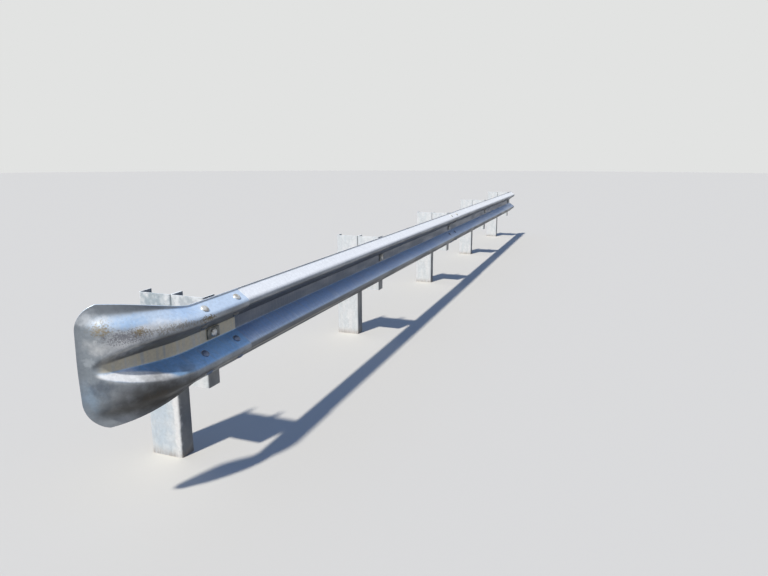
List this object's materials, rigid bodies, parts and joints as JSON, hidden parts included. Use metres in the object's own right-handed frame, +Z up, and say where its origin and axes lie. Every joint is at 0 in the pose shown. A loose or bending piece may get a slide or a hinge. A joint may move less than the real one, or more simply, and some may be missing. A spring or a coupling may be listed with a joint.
{
  "type": "highway guardrail section",
  "caption": "Galvanised corrugated beam guardrail on channel posts and spacers, with lapped and bolted joints and a flattened, curved wing end.",
  "frame": {"origin": "middle of the web of the first post, on its cut face at ground level", "axes": "+X along the rail from the wing end to the open far end, +Y away from the road, +Z up"},
  "size_m": [8.6988, 0.418, 0.8113],
  "materials": {
    "beam_zinc": "hot-dip galvanised, satin",
    "weathered_zinc": "hot-dip galvanised, weathered",
    "post_zinc": "hot-dip galvanised, mottled",
    "washer_zinc": "hot-dip galvanised, dull"
  },
  "bodies": {
    "root": {"beam_1": "beam_zinc", "beam_2": "beam_zinc", "plate_washer_1": "washer_zinc", "plate_washer_2": "washer_zinc", "plate_washer_3": "washer_zinc", "plate_washer_4": "washer_zinc", "plate_washer_5": "washer_zinc", "post_1": "post_zinc", "post_2": "post_zinc", "post_3": "post_zinc", "post_4": "post_zinc", "post_5": "post_zinc", "spacer_1": "post_zinc", "spacer_2": "post_zinc", "spacer_3": "post_zinc", "spacer_4": "post_zinc", "spacer_5": "post_zinc", "wing_terminal": "weathered_zinc"}
  },
  "joints": []
}
